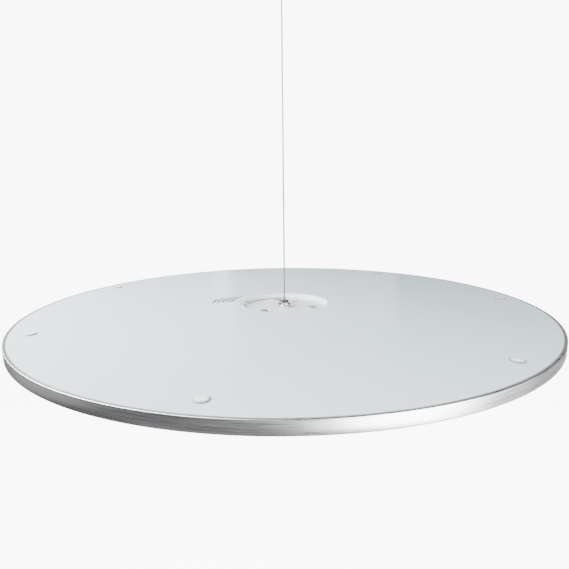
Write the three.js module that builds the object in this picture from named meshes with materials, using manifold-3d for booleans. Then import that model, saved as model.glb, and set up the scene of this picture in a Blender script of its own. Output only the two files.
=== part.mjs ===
// Round disc pendant lamp: a slim edge-lit disc hung at its centre from one wire.
// Millimetres, +Z up. The origin is the centre of the ceiling plate's top face.
import * as THREE from 'three';
import { mergeVertices } from 'three/addons/utils/BufferGeometryUtils.js';
import Module from 'manifold-3d';

const wasm = await Module();
wasm.setup();

// ---- driving dimensions ----

const rest = 0.3; // gap kept where one piece rests on, or seats against, another
const play = 0.5; // radial gap round a plate, a ring or a cup that drops into another piece
const screwPlay = 0.4; // radial gap round a screw or a sleeve in its hole
const through = 1; // how far a cutting tool runs past the faces that it cuts

// disc
const discRadius = 300;
const rimWall = 1.5;
const rimEdgeRound = 1.0; // rounding along the rim's lower outer edge
const webReach = 28; // how far the rim's inner web reaches in from the rim wall
const lipDepth = 0.3; // the glass lies this far under the rim's lip
const glassThickness = 3;
const leadSpace = 1.0; // free height between glass and reflector, where flange and leads lie
const reflectorThickness = 0.3;
const guideThickness = 2.5;
const diffuserThickness = 1.0;
const retainerWidth = 8;
const retainerThickness = 1.0;
const retainerLift = 0.2; // the retaining ring lies this far inside the rim's lower edge

// cap screws round the rim
const capScrewCount = 7;
const capScrewInset = 22; // from the disc's edge to a screw's axis
const capScrewFirstAngle = 310.4; // degrees from +X
const capHeadRadius = 5.8;
const capHeadHeight = 1.6;
const capShankRadius = 1.6;
const sleeveWall = 0.9;

// LED strip
const ledCount = 56;
const stripThickness = 0.8;
const ledDepth = 0.7;
const ledWidth = 3;

// hub
const cupRadius = 55; // outside of the recess cup
const cupWall = 1.2;
const cupFloor = 1.2;
const cupDrop = 0.2; // the cup's edge lies this far under the top of the glass
const cupFlange = 13; // width of the flange under the glass
const hubScrewCount = 3;
const hubScrewCircle = 36;
const hubScrewFirstAngle = -15;
const hubScrewHead = 4.7;
const hubScrewHeadHeight = 2.2;
const hubScrewChamfer = 0.5;
const hubScrewShank = 2.0;
const centreCapOverlap = 7; // how far the centre cap reaches past the cup
const centreCapThickness = 1.0;
const capBossWidth = 9;

// swivel fitting in the recess
const wireRadius = 1.0;
const ballRadius = 2.4;
const ballPlay = 0.35; // radial gap round the ball in its socket
const ballInset = 0.1; // the ball's top lies this far under the barrel's edge
const ballFloorGap = 0.4; // under the ball, to the socket's floor
const washerThickness = 0.4;
const washerMargin = 1; // how far the washer reaches past the swivel's base
const barrelWall = 2.25;
const barrelHeight = 3.4;
const baseMargin = 2; // how far the base reaches past the barrel
const baseHeight = 2;
const shankRadius = 3.6;
const swivelCapHeight = 2.3;
const swivelCapMargin = 0.4; // how far the swivel cap reaches past the barrel
const swivelCapChamfer = 1;
const tiltPlay = 1.0; // radial gap round the wire in the swivel cap, for the full tilt
const swivelNutHeight = 1.2;
const swivelNutMargin = 2.8; // from the shank to the nut's corners
const swivelNutGap = 0.4; // under the nut, to the centre cap
const grubRadius = 1.1;
const grubPlay = 0.25;
const grubWall = 0.6; // from the socket's bore to a grub screw's inner end
const grubRise = 1.7; // a grub screw's axis above the base

// power path in the disc
const terminalAngle = 73;
const terminalDistance = 35.5;
const terminalSize = [14, 7, 3.8];
const leadRadius = 0.35;
const leadSpacing = 1.6;
const leadExitAngle = 157.5;
const leadSlotWidth = 4;
const leadSlotMargin = 0.2; // the slot is this much taller than the flange, above and below
const leadWallGap = 7; // from the cup's wall to the pair of leads
const leadLift = 1.6; // the leads' height over the terminal block's foot
const leafThickness = 0.4;
const leafHeight = 1.4;
const leafLift = 0.3; // the contact leaves' height over the foot of the swivel's base
const leafHalfLength = 3; // half of the straight stretch beside the base
const leafBend = 9; // where a leaf starts to turn in to the terminal block
const leafSplay = 1; // how far a leaf stands out at its bend
const leafTail = 5; // straight stretch before the terminal block
const leafFootSpread = 3; // from the terminal block's middle to a leaf's foot
const ribbonWidth = 5;
const ribbonThickness = 0.2;
const ribbonGap = 6; // from the flange's edge to the ribbon's start

// ceiling parts
const dropToDisc = 410; // ceiling plane to the rim's lip
const canopyRadius = 50;
const canopyHeight = 30;
const canopyWall = 1.2;
const canopyEdgeCut = 2; // chamfer round the cover's underside
const canopyInnerCut = 1;
const coverGap = 0.5; // between the ceiling and the cover's edge
const plateInset = 4; // the plate's edge lies this far inside the cover's outside
const plateThickness = 2;
const plateSlotInset = 14; // from the plate's edge to a slot's middle
const plateSlotWidth = 5;
const plateSlotLength = 12;
const cableHoleRadius = 7;
const cableHoleAt = [-14, -22];
const earWidth = 12;
const earThickness = 2;
const earLength = 14;
const earRoot = 6; // how far an ear's foot overlaps the plate
const canopyScrewDrop = 9; // below the ceiling plane
const canopyScrewRadius = 1.5;
const canopyScrewHead = 2.8;
const canopyScrewHeadHeight = 1.2;
const canopyScrewChamfer = 0.8;
const canopyScrewTip = 1; // how far a screw's end stands past its ear
const bridgeWidth = 18;
const bridgeInset = 12; // from the plate's edge to the end of a bridge foot
const bridgeFoot = 8;
const bridgeSlope = 6; // how far a bridge leg leans in
const bridgeDrop = 20; // underside of the bridge, below the ceiling plane
const bridgeThickness = 2;
const driverDepth = 22;
const driverHeight = 17;
const driverWall = 1.4;
const driverOffset = 23; // driver's centre from the lamp's axis
const driverEdgeGap = 4.1; // from the driver's outer corners to the cover's inside
const driverLidThickness = 1.6;
const driverBoardLift = 3; // from the case's lower edge to the board's middle
const driverBoardThickness = 1.6;
const driverLeadSpacing = 2.6;
const mainsBlockSize = [24, 13, 11];
const mainsBlockX = 17;
const mainsBlockInset = 24.8; // from the cover's inside to the mains block's middle

// ceiling gripper
const gripperRadius = 6.5;
const gripperTop = 13; // below the ceiling plane
const upperBallDrop = 36;
const seatThickness = 1.0;
const seatBore = wireRadius + 1.0;
const sleeveBoreTop = wireRadius + 1.5;
const sleeveBoreMouth = wireRadius + 2.75; // room for the wire at the end of its swing
const sleeveNeck = 4.3;
const sleeveShoulder = 4.9;
const sleeveShoulderHeight = 1.4;
const sleeveTravel = 2;
const springSolid = 1.3; // height kept for the spring when it is pressed flat
const springWire = 0.28;
const springTurns = 2;
const springTurnPoints = 12;
const sleeveNeckLength = 4.3;
const gripperCapHeight = 1.5;
const nutMargin = 3; // from the gripper's side to a nut's corners
const nutHeight = 3;

// facets
const ringSteps = 56;
const hubSteps = 48;
const smallSteps = 24;
const screwSteps = 12;
const slotSteps = 6; // per slot end
const edgeSteps = 2; // along the rounding of the rim's edge
const tubeSides = 8;
const hexSides = 6;
const mergeDistance = 1e-4;
const domeTurns = [30, 60]; // degrees up a screw's domed head
const leadSteps = 26;
const driverLeadSteps = 14;
const wireSteps = 2;

// ---- heights worked out from the stack, below the rim's lip ----

const glassTop = -lipDepth;
const glassBottom = glassTop - glassThickness;
const flangeTop = glassBottom - rest;
const flangeBottom = flangeTop - leadSpace;
const reflectorTop = flangeBottom - rest;
const reflectorBottom = reflectorTop - reflectorThickness;
const guideTop = reflectorBottom - rest;
const guideBottom = guideTop - guideThickness;
const diffuserTop = guideBottom - rest;
const diffuserBottom = diffuserTop - diffuserThickness;
const retainerTop = diffuserBottom - rest;
const retainerBottom = retainerTop - retainerThickness;
const discBottom = retainerBottom - retainerLift;
const cupTop = glassTop - cupDrop;
const swivelNutBottom = retainerTop + swivelNutGap;
const swivelNutTop = swivelNutBottom + swivelNutHeight;
const cupFloorBottom = swivelNutTop + rest;
const cupFloorTop = cupFloorBottom + cupFloor;

const rimInner = discRadius - rimWall;
const webInner = rimInner - webReach;
const holeRadius = cupRadius + play; // hole for the cup in glass, reflector, guide and diffuser
const capScrewCircle = discRadius - capScrewInset;
const sleeveOuter = capShankRadius + screwPlay + sleeveWall;

// ---- helpers ----

const group = new THREE.Group();
const disc = new THREE.Group();
disc.position.z = -dropToDisc;
const fitting = new THREE.Group();
disc.add(fitting);
group.add(disc);

const finishes = {
  aluminium: [0xb9bcc0, 0.35, 0.9],
  paintedWhite: [0xf1f3f2, 0.5, 0.0],
  glass: [0xdfe9e6, 0.12, 0.0],
  reflector: [0xfafafa, 0.8, 0.0],
  acrylic: [0xeef5f6, 0.15, 0.0],
  opal: [0xf6f6f2, 0.4, 0.0],
  steel: [0x9a9da1, 0.3, 1.0],
  nickel: [0xd6d6d2, 0.2, 1.0],
  darkNickel: [0x3c3a3c, 0.35, 0.9],
  nylon: [0xe9e9e4, 0.6, 0.0],
  board: [0xf4f4ee, 0.6, 0.0],
  copper: [0xb9774a, 0.4, 0.9],
  redLead: [0x8c3a34, 0.5, 0.0],
  blackLead: [0x26262a, 0.5, 0.0],
  blackPlastic: [0x2c2d30, 0.55, 0.0],
};

function add(parent, name, geometry, finish, place = [0, 0, 0]) {
  const [color, roughness, metalness] = finishes[finish];
  const mesh = new THREE.Mesh(geometry, new THREE.MeshStandardMaterial({ color, roughness, metalness }));
  mesh.name = name;
  mesh.position.set(...place);
  parent.add(mesh);
  return mesh;
}

// A closed ring or disc turned about Z from a profile of [radius, z] points, given anticlockwise
// with the axis on the left.
function turned(profile, steps) {
  const points = profile.map(([radius, z]) => new THREE.Vector2(radius, z));
  if (profile[0][0] > 0) points.push(points[0].clone());
  const geometry = new THREE.LatheGeometry(points, steps);
  geometry.rotateX(Math.PI / 2);
  return geometry;
}

function tube(inner, outer, bottom, top, steps) {
  return turned([[inner, bottom], [outer, bottom], [outer, top], [inner, top]], steps);
}

function rod(radius, bottom, top, steps) {
  return turned([[0, bottom], [radius, bottom], [radius, top], [0, top]], steps);
}

function ball(radius, steps) {
  const count = steps / 2;
  const profile = [];
  for (let i = 0; i <= count; i += 1) {
    const angle = -Math.PI / 2 + (Math.PI * i) / count;
    const onAxis = i === 0 || i === count;
    profile.push([onAxis ? 0 : radius * Math.cos(angle), radius * Math.sin(angle)]);
  }
  return turned(profile, steps);
}

function block([x, y, z], [width, depth, height]) {
  const geometry = new THREE.BoxGeometry(width, depth, height);
  geometry.translate(x, y, z);
  return geometry;
}

function circleLoop(radius, steps, x = 0, y = 0) {
  const points = [];
  for (let i = 0; i < steps; i += 1) {
    const angle = (2 * Math.PI * i) / steps;
    points.push(new THREE.Vector2(x + radius * Math.cos(angle), y + radius * Math.sin(angle)));
  }
  return points;
}

function extruded(outline, holes, bottom, top) {
  const shape = new THREE.Shape(outline);
  shape.holes = holes.map((points) => new THREE.Path(points));
  const geometry = new THREE.ExtrudeGeometry(shape, { depth: top - bottom, bevelEnabled: false });
  geometry.translate(0, 0, bottom);
  return geometry;
}

function around(count, firstAngle, radius) {
  return Array.from({ length: count }, (_, i) => {
    const angle = THREE.MathUtils.degToRad(firstAngle + (360 * i) / count);
    return [radius * Math.cos(angle), radius * Math.sin(angle)];
  });
}

function polar(radius, degrees) {
  const angle = THREE.MathUtils.degToRad(degrees);
  return [radius * Math.cos(angle), radius * Math.sin(angle)];
}

function leadTube(points, radius, steps) {
  const curve = new THREE.CatmullRomCurve3(points.map((p) => new THREE.Vector3(...p)), false, 'centripetal');
  const section = new THREE.Shape(circleLoop(radius, tubeSides));
  return new THREE.ExtrudeGeometry(section, { steps, extrudePath: curve, bevelEnabled: false });
}

function toSolid(geometry) {
  const bare = geometry.clone();
  bare.deleteAttribute('normal');
  bare.deleteAttribute('uv');
  const merged = mergeVertices(bare, mergeDistance);
  return new wasm.Manifold(new wasm.Mesh({
    numProp: 3,
    vertProperties: new Float32Array(merged.attributes.position.array),
    triVerts: new Uint32Array(merged.index.array),
  }));
}

function toGeometry(solid) {
  const mesh = solid.getMesh();
  const geometry = new THREE.BufferGeometry();
  geometry.setAttribute('position', new THREE.BufferAttribute(mesh.vertProperties, 3));
  geometry.setIndex(new THREE.BufferAttribute(mesh.triVerts, 1));
  geometry.computeVertexNormals();
  return geometry;
}

function cut(geometry, tools) {
  return toGeometry(tools.reduce((solid, tool) => solid.subtract(toSolid(tool)), toSolid(geometry)));
}

function joined(parts) {
  return toGeometry(parts.map(toSolid).reduce((solid, next) => solid.add(next)));
}

// Points of a circle's arc in a profile, with its angles in degrees.
function arc(centreRadius, centreZ, radius, from, to, steps) {
  return Array.from({ length: steps + 1 }, (_, i) => {
    const [across, up] = polar(radius, from + ((to - from) * i) / steps);
    return [centreRadius + across, centreZ + up];
  });
}

// ---- disc: rim, glass and light plates ----

const screwSpots = around(capScrewCount, capScrewFirstAngle, capScrewCircle);

const rimProfile = [
  [webInner, guideBottom],
  [rimInner, guideBottom],
  [rimInner, discBottom],
  ...arc(discRadius - rimEdgeRound, discBottom + rimEdgeRound, rimEdgeRound, -90, 0, edgeSteps),
  [discRadius, 0],
  [rimInner, 0],
  [rimInner, flangeTop],
  [webInner, flangeTop],
];
const screwHole = (radius, bottom, top) => screwSpots.map(([x, y]) => {
  const hole = rod(radius, bottom, top, screwSteps);
  hole.translate(x, y, 0);
  return hole;
});
const rimHoles = screwHole(capShankRadius + screwPlay, guideBottom - through, flangeTop + through);
add(disc, 'rim_ring', cut(turned(rimProfile, ringSteps), rimHoles), 'aluminium');

const glassRadius = rimInner - play;
add(disc, 'top_glass', extruded(
  circleLoop(glassRadius, ringSteps),
  [
    circleLoop(holeRadius, hubSteps),
    ...screwSpots.map(([x, y]) => circleLoop(sleeveOuter + screwPlay, screwSteps, x, y)),
  ],
  glassBottom,
  glassTop,
), 'glass');

const plateRim = webInner - stripThickness - ledDepth - 2 * play;
const capHeadBottom = glassTop + rest;
screwSpots.forEach(([x, y], i) => {
  const tip = guideBottom + rest;
  const dome = domeTurns.map((turn) => {
    const [across, up] = polar(1, turn);
    return [capHeadRadius * across, capHeadBottom + capHeadHeight * up];
  });
  add(disc, `cap_screw_${i + 1}`, turned([
    [0, tip],
    [capShankRadius, tip],
    [capShankRadius, capHeadBottom],
    [capHeadRadius, capHeadBottom],
    ...dome,
    [0, capHeadBottom + capHeadHeight],
  ], screwSteps), 'paintedWhite', [x, y, 0]);
  add(
    disc,
    `screw_sleeve_${i + 1}`,
    tube(capShankRadius + screwPlay, sleeveOuter, glassBottom, glassTop, screwSteps),
    'nylon',
    [x, y, 0],
  );
});

const reflector = tube(holeRadius, plateRim, reflectorBottom, reflectorTop, ringSteps);
add(disc, 'reflector_sheet', reflector, 'reflector');
add(disc, 'light_guide', tube(holeRadius, plateRim, guideBottom, guideTop, ringSteps), 'acrylic');
const diffuserRadius = rimInner - play;
add(disc, 'diffuser', tube(holeRadius, diffuserRadius, diffuserBottom, diffuserTop, ringSteps), 'opal');
add(
  disc,
  'retaining_ring',
  tube(diffuserRadius - retainerWidth, diffuserRadius, retainerBottom, retainerTop, ringSteps),
  'aluminium',
);

// The strip is one flexible board with its LEDs standing inwards from it.
const stripOuter = webInner - play;
const stripInner = stripOuter - stripThickness;
const ledInner = stripInner - ledDepth;
const stripInnerLoop = [];
for (let i = 0; i < ledCount; i += 1) {
  const middle = (2 * Math.PI * (i + 0.5)) / ledCount;
  const half = ledWidth / 2 / stripInner;
  for (const [radius, angle] of [
    [stripInner, middle - half],
    [ledInner, middle - half],
    [ledInner, middle + half],
    [stripInner, middle + half],
  ]) {
    stripInnerLoop.push(new THREE.Vector2(radius * Math.cos(angle), radius * Math.sin(angle)));
  }
}
const strip = extruded(circleLoop(stripOuter, ringSteps), [stripInnerLoop], guideBottom, guideTop);
add(disc, 'led_strip', strip, 'board');

// ---- hub: recess cup, centre cap and their screws ----

const cupInner = cupRadius - cupWall;
const floorBore = shankRadius + screwPlay;
const hubSpots = around(hubScrewCount, hubScrewFirstAngle, hubScrewCircle);
const hubHole = (bottom, top) => hubSpots.map(([x, y]) => {
  const hole = rod(hubScrewShank + screwPlay, bottom, top, screwSteps);
  hole.translate(x, y, 0);
  return hole;
});
const leadSlot = block(
  [cupRadius + cupFlange / 2, 0, (flangeTop + flangeBottom) / 2],
  [cupFlange + 2 * (cupWall + 2 * through), leadSlotWidth, leadSpace + 2 * leadSlotMargin],
);
leadSlot.rotateZ(THREE.MathUtils.degToRad(leadExitAngle));
add(disc, 'recess_cup', cut(turned([
  [floorBore, cupFloorBottom],
  [cupRadius, cupFloorBottom],
  [cupRadius, flangeBottom],
  [cupRadius + cupFlange, flangeBottom],
  [cupRadius + cupFlange, flangeTop],
  [cupRadius, flangeTop],
  [cupRadius, cupTop],
  [cupInner, cupTop],
  [cupInner, cupFloorTop],
  [floorBore, cupFloorTop],
], hubSteps), [...hubHole(cupFloorBottom - through, cupFloorTop + through), leadSlot]), 'paintedWhite');

const centreCapBottom = retainerTop - centreCapThickness;
const bossTop = cupFloorBottom - rest;
const bossHoles = hubHole(retainerTop - centreCapThickness / 2, bossTop + through);
add(disc, 'centre_cap', cut(turned([
  [0, centreCapBottom],
  [cupRadius + centreCapOverlap, centreCapBottom],
  [cupRadius + centreCapOverlap, retainerTop],
  [hubScrewCircle + capBossWidth / 2, retainerTop],
  [hubScrewCircle + capBossWidth / 2, bossTop],
  [hubScrewCircle - capBossWidth / 2, bossTop],
  [hubScrewCircle - capBossWidth / 2, retainerTop],
  [0, retainerTop],
], hubSteps), bossHoles), 'aluminium');

hubSpots.forEach(([x, y], i) => {
  const headBottom = cupFloorTop + rest;
  const headTop = headBottom + hubScrewHeadHeight;
  add(disc, `hub_screw_${i + 1}`, turned([
    [0, retainerTop],
    [hubScrewShank, retainerTop],
    [hubScrewShank, headBottom],
    [hubScrewHead, headBottom],
    [hubScrewHead, headTop - hubScrewChamfer],
    [hubScrewHead - hubScrewChamfer, headTop],
    [0, headTop],
  ], screwSteps), 'steel', [x, y, 0]);
});

// ---- swivel fitting ----

const washerBottom = cupFloorTop + rest;
const washerTop = washerBottom + washerThickness;
const baseBottom = washerTop + rest;
const baseTop = baseBottom + baseHeight;
const barrelTop = baseTop + barrelHeight;
const socketBore = ballRadius + ballPlay;
const barrelRadius = socketBore + barrelWall;
const baseRadius = barrelRadius + baseMargin;
const ballCentre = barrelTop - ballInset - ballRadius;
const socketFloor = ballCentre - ballRadius - ballFloorGap;

const washer = tube(floorBore, baseRadius + washerMargin, washerBottom, washerTop, smallSteps);
add(disc, 'swivel_washer', washer, 'nylon');

const grubHeight = baseTop + grubRise;
const grubSeat = socketBore + grubWall;
const grubHoles = [0, 180].map((angle) => {
  const hole = rod(grubRadius + grubPlay, grubSeat - rest, baseRadius, screwSteps);
  hole.rotateY(Math.PI / 2);
  hole.translate(0, 0, grubHeight);
  hole.rotateZ(THREE.MathUtils.degToRad(angle));
  return hole;
});
add(fitting, 'swivel_socket', cut(turned([
  [0, swivelNutBottom],
  [shankRadius, swivelNutBottom],
  [shankRadius, baseBottom],
  [baseRadius, baseBottom],
  [baseRadius, baseTop],
  [barrelRadius, baseTop],
  [barrelRadius, barrelTop],
  [socketBore, barrelTop],
  [socketBore, socketFloor],
  [0, socketFloor],
], smallSteps), grubHoles), 'nickel');
const swivelCapBottom = barrelTop + rest;
const swivelCapTop = swivelCapBottom + swivelCapHeight;
const swivelCapRadius = barrelRadius + swivelCapMargin;
const tiltMouth = wireRadius + tiltPlay;
add(fitting, 'swivel_cap', turned([
  [tiltMouth, swivelCapBottom],
  [swivelCapRadius, swivelCapBottom],
  [swivelCapRadius, swivelCapTop - swivelCapChamfer],
  [swivelCapRadius - swivelCapChamfer, swivelCapTop],
  [tiltMouth, swivelCapTop],
], smallSteps), 'darkNickel');
add(
  fitting,
  'swivel_nut',
  extruded(
    circleLoop(shankRadius + swivelNutMargin, hexSides),
    [circleLoop(shankRadius + rest, smallSteps)],
    swivelNutBottom,
    swivelNutTop,
  ),
  'nickel',
);
['left', 'right'].forEach((side, i) => {
  const screw = rod(grubRadius, grubSeat, baseRadius, screwSteps);
  screw.rotateY(i === 0 ? -Math.PI / 2 : Math.PI / 2);
  screw.translate(0, 0, grubHeight);
  add(fitting, `grub_screw_${side}`, screw, 'darkNickel');
});
add(disc, 'lower_ball', ball(ballRadius, smallSteps / 2), 'steel', [0, 0, ballCentre]);

// ---- power path: contact leaves, terminal block, leads and ribbon ----

const terminalCentre = polar(terminalDistance, terminalAngle);
const [terminalWidth, terminalDepth, terminalHeight] = terminalSize;
const terminalBottom = cupFloorTop + rest;
const terminal = block([...terminalCentre, terminalBottom + terminalHeight / 2], terminalSize);
add(disc, 'terminal_block', terminal, 'nylon');

const leafBottom = baseBottom + leafLift;
['left', 'right'].forEach((side, i) => {
  const sign = i === 0 ? -1 : 1;
  const beside = baseRadius + rest;
  const foot = terminalCentre[0] + sign * leafFootSpread;
  const back = terminalCentre[1] - terminalDepth / 2 - rest;
  const innerEdge = [
    [sign * beside, -leafHalfLength],
    [sign * beside, leafHalfLength],
    [sign * (beside + leafSplay), leafBend],
    [foot, back - leafTail],
    [foot, back],
  ];
  const outerEdge = innerEdge.map(([x, y]) => [x + sign * leafThickness, y]).reverse();
  const outline = [...innerEdge, ...outerEdge].map(([x, y]) => new THREE.Vector2(x, y));
  add(disc, `contact_leaf_${side}`, extruded(outline, [], leafBottom, leafBottom + leafHeight), 'copper');
});

const leadHeight = flangeTop - leadSpace / 2;
const leadStartY = terminalCentre[1] + terminalDepth / 2 + rest;
const [slotX, slotY] = polar(1, leadExitAngle);
const ribbonStart = cupRadius + cupFlange + ribbonGap;
['positive', 'negative'].forEach((pole, i) => {
  const side = (i - 0.5) * leadSpacing;
  const low = terminalBottom + leadLift;
  const onSlot = (radius, height) => [
    slotX * radius - slotY * side,
    slotY * radius + slotX * side,
    height,
  ];
  const run = cupInner - leadWallGap - side;
  const route = [
    [terminalCentre[0] - side, leadStartY, low],
    [terminalCentre[0] - side, leadStartY + 2.5, low],
    [...polar(run - 1, 88), low],
    [...polar(run, 103), low],
    [...polar(run + 0.5, 118), low],
    [...polar(run + 0.5, 133), low],
    [...polar(run + 0.5, 147), low + 0.3],
    onSlot(cupInner - 2.5, leadHeight),
    onSlot(cupRadius + cupFlange / 2, leadHeight),
    onSlot(ribbonStart - rest, leadHeight),
  ];
  add(disc, `lead_${pole}`, leadTube(route, leadRadius, leadSteps), i === 0 ? 'redLead' : 'blackLead');
});

const ribbonEnd = stripInner;
const ribbon = block(
  [(ribbonStart + ribbonEnd) / 2, 0, leadHeight],
  [ribbonEnd - ribbonStart, ribbonWidth, ribbonThickness],
);
ribbon.rotateZ(THREE.MathUtils.degToRad(leadExitAngle));
add(disc, 'feed_ribbon', ribbon, 'copper');

// ---- wire and upper ball ----

const upperBallZ = -upperBallDrop;
const wireTop = upperBallZ - ballRadius - rest;
const wireBottom = -dropToDisc + ballCentre + ballRadius + rest;
add(group, 'upper_ball', ball(ballRadius, smallSteps / 2), 'steel', [0, 0, upperBallZ]);
add(
  group,
  'suspension_wire',
  leadTube([[0, 0, wireTop], [0, 0, (wireTop + wireBottom) / 2], [0, 0, wireBottom]], wireRadius, wireSteps),
  'steel',
);

// ---- ceiling gripper ----

const seatTop = upperBallZ - ballRadius - rest;
const seatBottom = seatTop - seatThickness;
const gripperBottom = seatBottom - springSolid - sleeveTravel - sleeveShoulderHeight;
const counterBore = sleeveShoulder + rest;
add(group, 'gripper_body', turned([
  [counterBore, gripperBottom],
  [gripperRadius, gripperBottom],
  [gripperRadius, -gripperTop],
  [ballRadius + play, -gripperTop],
  [ballRadius + play, seatTop],
  [seatBore, seatTop],
  [seatBore, seatBottom],
  [counterBore, seatBottom],
], smallSteps), 'nickel');
const gripperCapTop = gripperBottom - rest;
const gripperCapBottom = gripperCapTop - gripperCapHeight;
add(
  group,
  'gripper_cap',
  tube(sleeveNeck + rest, gripperRadius, gripperCapBottom, gripperCapTop, smallSteps),
  'nickel',
);
const shoulderBottom = gripperCapTop + rest;
const shoulderTop = shoulderBottom + sleeveShoulderHeight;
const sleeveBottom = shoulderBottom - sleeveNeckLength;
add(group, 'release_sleeve', turned([
  [sleeveBoreMouth, sleeveBottom],
  [sleeveNeck, sleeveBottom],
  [sleeveNeck, shoulderBottom],
  [sleeveShoulder, shoulderBottom],
  [sleeveShoulder, shoulderTop],
  [sleeveBoreTop, shoulderTop],
], smallSteps), 'darkNickel');

// The return spring is a round-wire coil between the seat and the sleeve.
const springRadius = (sleeveShoulder + sleeveBoreTop) / 2;
const springBottom = shoulderTop + rest + springWire;
const springTop = seatBottom - rest - springWire;
const springSteps = springTurns * springTurnPoints;
const springPoints = Array.from({ length: springSteps + 1 }, (_, i) => [
  ...polar(springRadius, (360 * i) / springTurnPoints),
  springBottom + ((springTop - springBottom) * i) / springSteps,
]);
add(group, 'sleeve_spring', leadTube(springPoints, springWire, springSteps + 2), 'steel');

const hexNut = (bottom, top) => extruded(
  circleLoop(gripperRadius + nutMargin, hexSides),
  [circleLoop(gripperRadius + rest, smallSteps)],
  bottom,
  top,
);
const bridgeTop = -bridgeDrop + bridgeThickness;
add(group, 'gripper_nut_upper', hexNut(bridgeTop + rest, bridgeTop + rest + nutHeight), 'steel');
add(group, 'gripper_nut_lower', hexNut(-canopyHeight - rest - nutHeight, -canopyHeight - rest), 'nickel');

// ---- canopy: plate, bridge, cover ----

const slotLoop = (x) => {
  const points = [];
  const run = (plateSlotLength - plateSlotWidth) / 2;
  for (const sign of [1, -1]) {
    for (let i = 0; i <= slotSteps; i += 1) {
      const angle = (sign > 0 ? 0 : Math.PI) + (Math.PI * i) / slotSteps;
      points.push(new THREE.Vector2(
        x + (plateSlotWidth / 2) * Math.cos(angle),
        sign * run + (plateSlotWidth / 2) * Math.sin(angle),
      ));
    }
  }
  return points;
};
const coverInner = canopyRadius - canopyWall;
const plateRadius = canopyRadius - plateInset;
const plateSlotDistance = plateRadius - plateSlotInset;
const earOuter = coverInner - play;
const ear = (sign) => block(
  [0, sign * (earOuter - earThickness / 2), -(earLength + coverGap) / 2],
  [earWidth, earThickness, earLength - coverGap],
);
const earFoot = (sign) => block(
  [0, sign * (earOuter + plateRadius - earRoot) / 2, -plateThickness / 2],
  [earWidth, earOuter - plateRadius + earRoot, plateThickness],
);
const earHoles = [1, -1].map((sign) => {
  const hole = rod(canopyScrewRadius + rest, plateRadius - earRoot, canopyRadius + through, screwSteps);
  hole.rotateX(-sign * Math.PI / 2);
  hole.translate(0, 0, -canopyScrewDrop);
  return hole;
});
const plate = extruded(
  circleLoop(plateRadius, hubSteps),
  [
    slotLoop(plateSlotDistance),
    slotLoop(-plateSlotDistance),
    circleLoop(cableHoleRadius, smallSteps, ...cableHoleAt),
  ],
  -plateThickness,
  0,
);
add(
  group,
  'ceiling_plate',
  cut(joined([plate, ear(1), ear(-1), earFoot(1), earFoot(-1)]), earHoles),
  'steel',
);

// The bridge is a bent strap, seen along Y as a hat with two feet under the plate.
const strapTop = -plateThickness - rest;
const halfSpan = plateRadius - bridgeInset - bridgeFoot;
const bridgeBottom = -bridgeDrop;
const hat = [
  [-halfSpan - bridgeFoot, strapTop],
  [-halfSpan - bridgeFoot, strapTop - bridgeThickness],
  [-halfSpan, strapTop - bridgeThickness],
  [-halfSpan + bridgeSlope, bridgeBottom],
  [halfSpan - bridgeSlope, bridgeBottom],
  [halfSpan, strapTop - bridgeThickness],
  [halfSpan + bridgeFoot, strapTop - bridgeThickness],
  [halfSpan + bridgeFoot, strapTop],
  [halfSpan - bridgeThickness, strapTop],
  [halfSpan - bridgeSlope - bridgeThickness, bridgeTop],
  [-halfSpan + bridgeSlope + bridgeThickness, bridgeTop],
  [-halfSpan + bridgeThickness, strapTop],
].map(([x, z]) => new THREE.Vector2(x, z));
const strap = extruded(hat, [], -bridgeWidth / 2, bridgeWidth / 2);
strap.rotateX(Math.PI / 2);
add(
  group,
  'hanger_bridge',
  cut(strap, [rod(gripperRadius + rest, bridgeBottom - through, bridgeTop + through, smallSteps)]),
  'steel',
);

add(group, 'canopy_cover', cut(turned([
  [gripperRadius + rest, -canopyHeight],
  [canopyRadius - canopyEdgeCut, -canopyHeight],
  [canopyRadius, -canopyHeight + canopyEdgeCut],
  [canopyRadius, -coverGap],
  [coverInner, -coverGap],
  [coverInner, -canopyHeight + canopyWall + canopyInnerCut],
  [coverInner - canopyInnerCut, -canopyHeight + canopyWall],
  [gripperRadius + rest, -canopyHeight + canopyWall],
], hubSteps), earHoles), 'paintedWhite');
[1, -1].forEach((sign, i) => {
  const tip = earOuter - earThickness - canopyScrewTip;
  const headBottom = canopyRadius + rest;
  const headTop = headBottom + canopyScrewHeadHeight;
  const screw = turned([
    [0, tip],
    [canopyScrewRadius, tip],
    [canopyScrewRadius, headBottom],
    [canopyScrewHead, headBottom],
    [canopyScrewHead - canopyScrewChamfer, headTop],
    [0, headTop],
  ], screwSteps);
  screw.rotateX(-sign * Math.PI / 2);
  add(group, `canopy_screw_${i + 1}`, screw, 'steel', [0, 0, -canopyScrewDrop]);
});

// ---- driver, mains terminal and internal leads ----

const driverEdge = coverInner - driverEdgeGap;
const driverWidth = 2 * Math.sqrt(driverEdge ** 2 - (driverOffset + driverDepth / 2) ** 2);
const driverTop = -plateThickness - rest;
const driverBottom = driverTop - driverHeight;
const caseWidth = driverWidth - 2 * driverWall;
const caseDepth = driverDepth - 2 * driverWall;
const caseRoof = driverTop - driverWall;
const caseOpening = block(
  [0, driverOffset, (caseRoof + driverBottom - through) / 2],
  [caseWidth, caseDepth, caseRoof - driverBottom + through],
);
const caseCentre = [0, driverOffset, (driverTop + driverBottom) / 2];
const caseBlock = block(caseCentre, [driverWidth, driverDepth, driverHeight]);
add(group, 'driver_case', cut(caseBlock, [caseOpening]), 'blackPlastic');
const lidTop = driverBottom - rest;
add(
  group,
  'driver_lid',
  block([0, driverOffset, lidTop - driverLidThickness / 2], [driverWidth, driverDepth, driverLidThickness]),
  'blackPlastic',
);
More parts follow.
